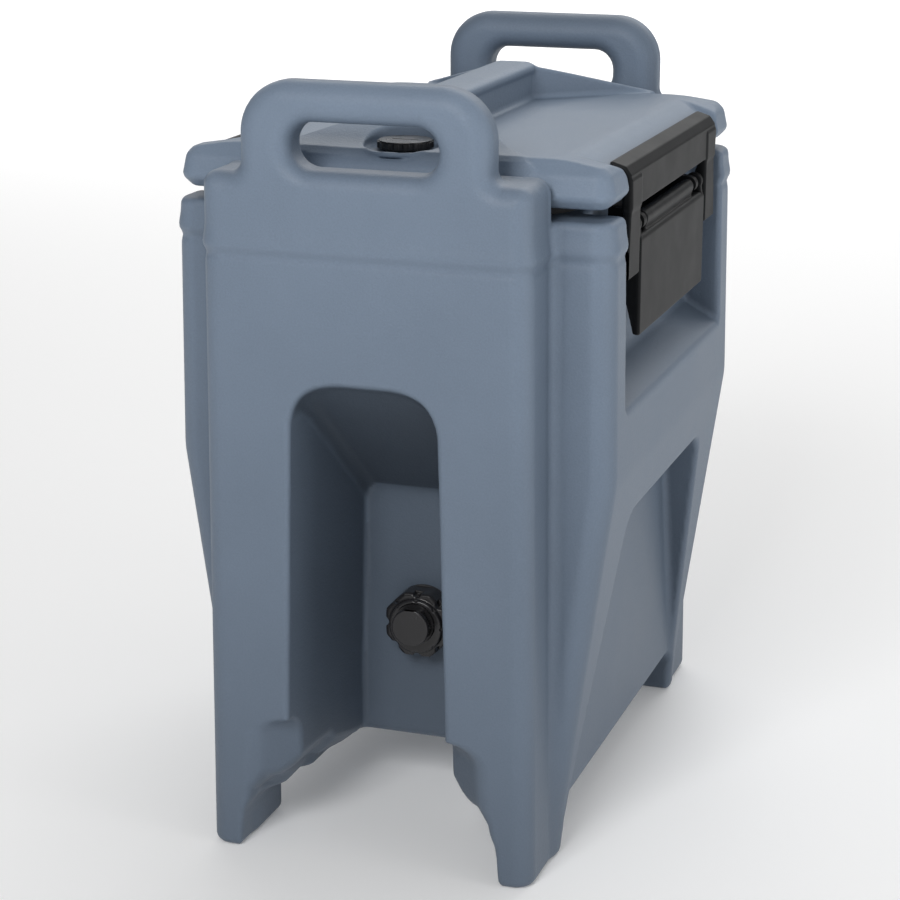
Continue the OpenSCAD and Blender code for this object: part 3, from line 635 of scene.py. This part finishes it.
def body_tint(p, g, hollow):
    """Painted shade: darker inside the front recess and towards the floor."""
    x, y, z = p.T
    inside = np.clip((y - SHADE_Y0) / FADE_Y, 0, 1) * np.clip((SHADE_HW - np.abs(x)) / FADE_X, 0, 1)
    inside *= (y < SHADE_Y1) & (z < SHADE_TOP)
    facing_down = np.clip(-g[:, 2] * 2.5, 0, 1)
    facing_left = np.clip(-g[:, 0] * 2 - 0.3, 0, 1)
    walls = WALL_DARK + FACING_LEFT_DARK * facing_left
    shut = np.maximum(walls, CEILING_DARK * facing_down * (z > CEILING_LOW_Z))
    shut = np.where((g[:, 1] < -0.8) & (y > BACK_NEAR_Y), BACK_DARK, shut)
    hollow = np.maximum(hollow, inside * shut)
    # painted shade towards the floor
    low = np.clip(1 - z / TOP, 0, 1) * FLOOR_DARK
    return 1 - (1 - hollow) * (1 - low)


field_mesh(
    "body_visual", body_field, body_lo, body_hi, BODY_STEP,
    "body", mat_body, ["body_shell"], SHELL_TRIANGLES, BODY_SHADE, body_tint,
)
field_mesh(
    "body_foam_visual", lambda x, y, z: body_field(x, y, z) + SKIN, body_lo, body_hi, BODY_FOAM_STEP,
    "body", mat_foam, ["body_foam"], FOAM_TRIANGLES,
)

# ---------------------------------------------------------------- lid
LID_STEP, LID_FOAM_STEP = 1.6, 4.0
LID_HW, LID_HL, LID_R, LID_Z0, LID_Z1 = lid_hi[0], lid_hi[1], 12.0, 394.0, 421.0
PLUG_HW, PLUG_HL, PLUG_R, PLUG_Z = 89.0, 115.0, 23.0, 364.0
RIDGE_Z, RIDGE_W, RIDGE_Y0, RIDGE_Y1 = lid_hi[2], 13.0, -62.0, 86.0
# The plate falls outwards from SLOPE_X, half as steeply at its ends
SLOPE_X, SLOPE_FALL, SLOPE_LENGTH, SLOPE_HL, SLOPE_EASE = 100.5, 0.311, 1.0473, 112.0, 16.0
WALL_Z, WALL_LEAN, WALL_COS = 402.0, 0.22, 0.977
TOP_CHAMFER, FOOT_CHAMFER, HALF_ROOT = 10.5, 6.0, 0.7071
HIP_EAVE_X, HIP_END_X = 82.0, 48.0
VENT_Y, SEAT_Z, SEAT_R, VENT_BORE_R = -119.0, 418.5, 24.0, 9.5
SEAT_RING_R, SEAT_RING_OUT = 25.5, 1.6
# Sloping faces that the bails hook over
KEEP_ANGLE = math.radians(50)
KEEP_X0, KEEP_Z0, KEEP_X1 = 116.0, 413.2, 124.0
KEEP_SLOPE = math.tan(KEEP_ANGLE)
NOTCH_HL, NOTCH_SPREAD_Z, NOTCH_SPREAD = 111.0, 408.0, 0.75


def plane_through(x, y, z, p, q, r, inside):
    """Signed distance to the plane through three points, negative at the inside point."""
    p, q, r = (np.array(v, float) for v in (p, q, r))
    n = np.cross(q - p, r - p)
    n /= np.linalg.norm(n)
    if (np.array(inside) - p) @ n > 0:
        n = -n
    return (x - p[0]) * n[0] + (y - p[1]) * n[1] + (z - p[2]) * n[2]


def hip(ax, y, z, y_ridge, y_end, z_ridge, z_end):
    """One raised end of the lid, in the half space x >= 0."""
    mid = (0, (y_ridge + y_end) / 2, LID_Z1 - 1)
    a, b = (RIDGE_W, y_ridge, z_ridge), (RIDGE_W, y_ridge, LID_Z1 - 3)
    e, g = (HIP_EAVE_X, y_end, LID_Z1), (HIP_END_X, y_end, z_end)
    top = plane_through(ax, y, z, a, (0, y_ridge, z_ridge), g, mid)
    facet = plane_through(ax, y, z, a, e, g, mid)
    wall = plane_through(ax, y, z, a, b, e, mid)
    s = 1 if y_end > y_ridge else -1
    ends = np.maximum((y - y_end) * s, (y_ridge - y) * s)
    d = soft_max(top, facet, 1.5)
    d = round_cut(d, wall, 2.0)
    return np.maximum(d, ends)


def lid_field(x, y, z):
    ax, ay = np.abs(x), np.abs(y)
    plan = round_rect(x, y, LID_HW, LID_HL, LID_R)
    fall = SLOPE_FALL * (1 - 0.5 * np.clip((ay - SLOPE_HL) / SLOPE_EASE, 0, 1))
    slope = (z - LID_Z1 + (ax - SLOPE_X) * fall) / SLOPE_LENGTH
    wall = (plan + np.maximum(z - WALL_Z, 0) * WALL_LEAN) * WALL_COS
    top_edge = (plan + z - LID_Z1 + TOP_CHAMFER) * HALF_ROOT
    foot_edge = (plan + LID_Z0 + FOOT_CHAMFER - z) * HALF_ROOT
    plate = soft_max(soft_max(z - LID_Z1, slope, 1.5), top_edge, 1.0)
    plate = soft_max(soft_max(plate, wall, 1.2), foot_edge, 1.8)
    plate = soft_max(plate, LID_Z0 - z, 1.5)
    plug = round_cut(round_rect(x, y, PLUG_HW, PLUG_HL, PLUG_R), PLUG_Z - z, 3)
    d = blend_union(plate, np.maximum(plug, z - 410), 1.5)
    ridge_plan = np.maximum(ax - RIDGE_W, np.maximum(RIDGE_Y0 - 4 - y, y - RIDGE_Y1 - 4))
    ridge = round_cut(ridge_plan, z - RIDGE_Z, 5)
    bead = np.maximum(np.hypot(ax - RIDGE_W + 1.5, z - RIDGE_Z + 4.2) - 3.4,
                      np.maximum(RIDGE_Y0 + 4 - y, y - RIDGE_Y1 + 1))
    ridge = blend_union(ridge, bead, 1.5)
    ridge = np.maximum(ridge, LID_Z1 - 6 - z)
    rear = np.maximum(hip(ax, y, z, RIDGE_Y1, LID_HL - 4, RIDGE_Z - 2, LID_Z1 + 5), LID_Z1 - 6 - z)
    front = np.maximum(hip(ax, y, z, RIDGE_Y0, -LID_HL + 6, RIDGE_Z - 4, LID_Z1 - 3), LID_Z1 - 6 - z)
    top = blend_union(blend_union(ridge, rear, 3), front, 3)
    d = blend_union(d, top, 3.5)
    # vent seat
    rv = np.hypot(x, y - VENT_Y)
    ring = np.hypot(rv - SEAT_RING_R, z - SEAT_Z - 0.4) - SEAT_RING_OUT
    d = blend_union(d, ring, 1.5)
    seat = round_cut(rv - SEAT_R, SEAT_Z - z, 2.5)
    d = round_cut(d, -seat, 2.0)
    # latch notches
    low = KEEP_Z0 - KEEP_SLOPE * (KEEP_X1 - KEEP_X0)
    notch = polygon(ax, z, [(SLOPE_X + 1.5, LID_Z1 + 0.5), (KEEP_X0, KEEP_Z0), (KEEP_X1, low), (KEEP_X1, 380),
                            (160, 380), (160, 450), (SLOPE_X + 1.5, 450)])
    notch_end = ay - NOTCH_HL - np.maximum(z - NOTCH_SPREAD_Z, 0) * NOTCH_SPREAD
    notch = round_cut(notch, notch_end * 0.85, 2)
    d = round_cut(d, -notch, 1.5)
    bore = np.maximum(rv - VENT_BORE_R, 390 - z)
    return np.maximum(d, -bore)


field_mesh(
    "lid_visual", lid_field, lid_lo, lid_hi, LID_STEP,
    "lid", mat_lid, ["lid_shell"], SHELL_TRIANGLES, LID_SHADE,
)
field_mesh(
    "lid_foam_visual", lambda x, y, z: lid_field(x, y, z) + SKIN, lid_lo, lid_hi, LID_FOAM_STEP,
    "lid", mat_foam, ["lid_foam"], FOAM_TRIANGLES,
)

# ---------------------------------------------------------------- latches
LATCH_STEP = 1.0
bail_lo, bail_hi = box_mm("right_latch_bail")
LEVER_OUT = box_mm("right_latch_lever")[1][0]
# Axes of the lever on its bracket and of the bail on the lever, and the radius of their bores
LEV_X, LEV_Z = 124.0, 375.0
PIN_X, PIN_Z = 120.0, 357.0
BORE_R, STUB_R = 2.05, 2.0
BAIL_HL, BAIL_LEG_HL, BAIL_CHEEK_Y = 106.0, 83.0, 85.0
LEVER_HL, LEVER_CHEEK_Y, LEVER_RIB_Y = 80.0, 77.5, 27.0
BARREL_R, BARREL_HL = 4.5, 58.0


def bail_field(x, y, z, s):
    """The frame that hooks over the lid; s is 1 on the right and -1 on the left."""
    ax, ay = x * s, np.abs(y)
    rise = 1 / math.cos(KEEP_ANGLE)
    z_in = KEEP_Z0 + rise
    x0, xf = KEEP_X0 + 1.5, bail_hi[0]
    outline = [(x0, 416), (x0, z_in - KEEP_SLOPE * 1.5), (xf - 5, z_in - KEEP_SLOPE * (xf - 5 - KEEP_X0)),
               (xf - 5, 388), (xf, 388), (xf, 408), (xf - 3.5, 413)]
    bar = round_cut(rounded(ax, z, outline, 1.3), ay - BAIL_HL, 1.5)
    outer = 104 + 2 * np.clip((z - 392) / 12, 0, 1) + 5 * np.clip((392 - z) / 40, 0, 1)
    face = np.maximum(round_cut(np.abs(ax - (xf - 2.5)) - 2.5, bail_lo[2] - z, 1.2), z - 404)
    leg = round_cut(face, np.maximum(BAIL_LEG_HL - ay, ay - outer), 1.3)
    cheek2 = polygon(ax, z, [(119, 352.1), (xf - 1, 354), (xf - 1, 392), (xf - 5, 387), (115.1, 358)])
    cheek2 = np.minimum(cheek2, np.hypot(ax - PIN_X, z - PIN_Z) - 5)
    cheek = round_cut(cheek2, np.abs(ay - BAIL_CHEEK_Y) - 2, 0.8)
    d = blend_union(blend_union(bar, leg, 3.0), cheek, 1.0)
    hole = np.hypot(ax - PIN_X, z - PIN_Z) - BORE_R
    return np.maximum(d, -hole)


def lever_field(x, y, z, s):
    """The paddle with its cheeks, ribs and hinge barrel."""
    ax, ay = x * s, np.abs(y)
    xf = LEVER_OUT
    face = round_rect(ax - (xf - 2), z - 338, 2, 29, 2)
    lip = np.hypot(ax - (xf - 4), z - 365) - 4
    plate = round_cut(np.minimum(face, lip), ay - LEVER_HL, 1.5)
    plate = round_cut(plate, round_rect(y, z - 338.5, LEVER_HL, 30.5, 5), 1.2)
    cheek2 = polygon(ax, z, [(xf - 1, 310), (xf - 1, 367), (128, 378.7), (119.4, 378), (114.6, 357),
                             (116.5, 349), (xf - 4, 310)])
    cheek2 = np.minimum(cheek2, np.hypot(ax - LEV_X, z - LEV_Z) - 5.5)
    cheek = round_cut(cheek2, np.abs(ay - LEVER_CHEEK_Y) - 2.5, 0.8)
    rib2 = polygon(ax, z, [(xf - 3, 315), (xf - 3, 363), (xf - 9, 363), (xf - 9, 345)])
    rib = round_cut(rib2, np.abs(ay - LEVER_RIB_Y) - 1.5, 0.5)
    neck = np.maximum(np.abs(ax - xf + 5.2) - 1.75, np.abs(z - 368) - 5)
    barrel = blend_union(np.hypot(ax - LEV_X, z - LEV_Z) - BARREL_R, neck, 2.0)
    barrel = round_cut(barrel, ay - BARREL_HL, 0.8)
    d = blend_union(blend_union(plate, cheek, 1.0), rib, 1.0)
    d = blend_union(d, barrel, 1.0)
    pin_hole = np.hypot(ax - LEV_X, z - LEV_Z) - BORE_R
    stub_hole = np.maximum(np.hypot(ax - PIN_X, z - PIN_Z) - STUB_R, 70 - ay)
    return np.maximum(np.maximum(d, -pin_hole), -stub_hole)


for side, s in (("right", 1), ("left", -1)):
    lo, hi = box_mm(f"{side}_latch_bail")
    field_mesh(
        f"{side}_bail_visual", lambda x, y, z, s=s: bail_field(x, y, z, s), lo, hi, LATCH_STEP,
        f"{side}_bail", mat_black, [f"{side}_latch_bail"], SMALL_TRIANGLES,
    )
    lo, hi = box_mm(f"{side}_latch_lever")
    field_mesh(
        f"{side}_lever_visual", lambda x, y, z, s=s: lever_field(x, y, z, s), lo, hi, LATCH_STEP,
        f"{side}_lever", mat_black, [f"{side}_latch_lever"], SMALL_TRIANGLES,
    )


# ---------------------------------------------------------------- tap
TAP_STEP = 0.55
collar_lo, collar_hi = box_mm("tap_collar")
knob_lo, knob_hi = box_mm("tap_knob")
# The collar is drawn further forward than its CAD node, and its lobes lower
COLLAR_FORWARD, COLLAR_DROP, COLLAR_BORE_R, LOBES = 3, 2.5, 12.65, 8
NUT_FLAT_R, NUT_R, COLLAR_RING_R = 20.6, 22.0, 17.2
KNOB_R, KNOB_FLAT_R, STEM_R = 11.9, 10.45, 7.95


def facets(x, z, count, turn):
    """Largest distance along the facet directions of a prism."""
    a = np.arctan2(z, x) - turn
    w = 2 * math.pi / count
    return np.hypot(x, z) * np.cos(np.mod(a + w / 2, w) - w / 2)


def collar_field(x, y, z):
    v = z - TAP_Z + COLLAR_DROP
    rho = np.hypot(x, v)
    y0, y1 = collar_lo[1] - COLLAR_FORWARD, collar_hi[1]
    nut = round_cut(facets(x, v, LOBES, 0) - NUT_FLAT_R, y0 + 3 - y, 2.2)
    nut = round_cut(nut, rho - NUT_R, 1.0)
    ring = round_cut(rho - COLLAR_RING_R, y0 - y, 1.2)
    d = blend_union(nut, ring, 1.0)
    a = np.arctan2(v, x)
    w = 2 * math.pi / LOBES
    da = np.mod(a + w / 2, w) - w / 2
    flute = np.hypot(rho * np.cos(da) - 20.9, rho * np.sin(da)) - 2.6
    d = round_cut(d, -np.maximum(flute, y - y0 - 9), 0.8)
    notch = np.maximum(np.hypot(rho * np.cos(da) - 17.6, rho * np.sin(da)) - 1.5, y - y0 - 1.6)
    d = round_cut(d, -notch, 0.4)
    d = np.maximum(d, y - y1)
    return np.maximum(d, COLLAR_BORE_R - np.hypot(x, z - TAP_Z))


def knob_field(x, y, z):
    v = z - TAP_Z
    rho = np.hypot(x, v)
    y0 = knob_lo[1]
    stop = collar_lo[1] - 4.8
    face = round_cut(round_cut(rho - KNOB_R, y0 - y, 0.9), y - y0 - 3.5, 0.3)
    hexa = round_cut(facets(x, v, 6, math.pi / 6) - KNOB_FLAT_R, y0 + 2.2 - y, 0.8)
    hexa = np.maximum(round_cut(hexa, rho - KNOB_R, 0.6), y - stop)
    d = np.minimum(face, hexa)
    stem = np.maximum(rho - STEM_R, np.maximum(y0 + 3 - y, y - knob_hi[1]))
    groove = np.maximum(np.abs(y + 82.5) - 1.5, 6 - rho)
    stem = np.maximum(stem, -groove)
    d = np.minimum(d, stem)
    bore = np.maximum(rho - 3, -109 - y)
    port = np.maximum(np.hypot(y + 106, v) - 1.8, -x)
    return np.maximum(d, -np.minimum(bore, port))


collar_reach = (0, COLLAR_FORWARD, 3)
field_mesh(
    "collar_visual", collar_field, collar_lo - collar_reach, collar_hi, TAP_STEP,
    "body", mat_tap, ["tap_collar"], SMALL_TRIANGLES,
)
field_mesh(
    "knob_visual", knob_field, knob_lo, knob_hi, TAP_STEP,
    "tap", mat_tap, ["tap_knob"], SMALL_TRIANGLES,
)


# ---------------------------------------------------------------- materials of the CAD pieces
def dress(node, material):
    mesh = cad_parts[node].data
    mesh.materials.clear()
    mesh.materials.append(material)


RUBBER_NODES = ("lid_gasket", "vent_seal", "tap_stem_ring", "tap_outer_washer", "tap_inner_washer")
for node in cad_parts:
    if "foam" in node and "plug" not in node:
        dress(node, mat_foam)
    elif node in RUBBER_NODES:
        dress(node, mat_rubber)
    elif "screws" in node or "pin" in node:
        dress(node, mat_steel)
    elif node.startswith("tap_") or node.startswith("vent_"):
        dress(node, mat_tap)
    elif "latch" in node:
        dress(node, mat_black)
    else:
        dress(node, mat_body)

# ---------------------------------------------------------------- floor
floor_mesh = bpy.data.meshes.new("floor")
FLOOR_HALF = 6.0  # metres
floor_corners = [(FLOOR_HALF * a, FLOOR_HALF * b, 0) for a, b in ((-1, -1), (1, -1), (1, 1), (-1, 1))]
floor_mesh.from_pydata(floor_corners, [], [(0, 1, 2, 3)])
floor_obj = bpy.data.objects.new("floor", floor_mesh)
scene.collection.objects.link(floor_obj)
floor_mat, _, paint = clean_material("floor_paint")
paint.inputs["Base Color"].default_value = (0.9, 0.9, 0.9, 1)
# a faint glow keeps the floor near white behind the object
paint.inputs["Emission Color"].default_value = (1, 1, 1, 1)
paint.inputs["Emission Strength"].default_value = 0.12
paint.inputs["Roughness"].default_value = 0.8
floor_mesh.materials.append(floor_mat)
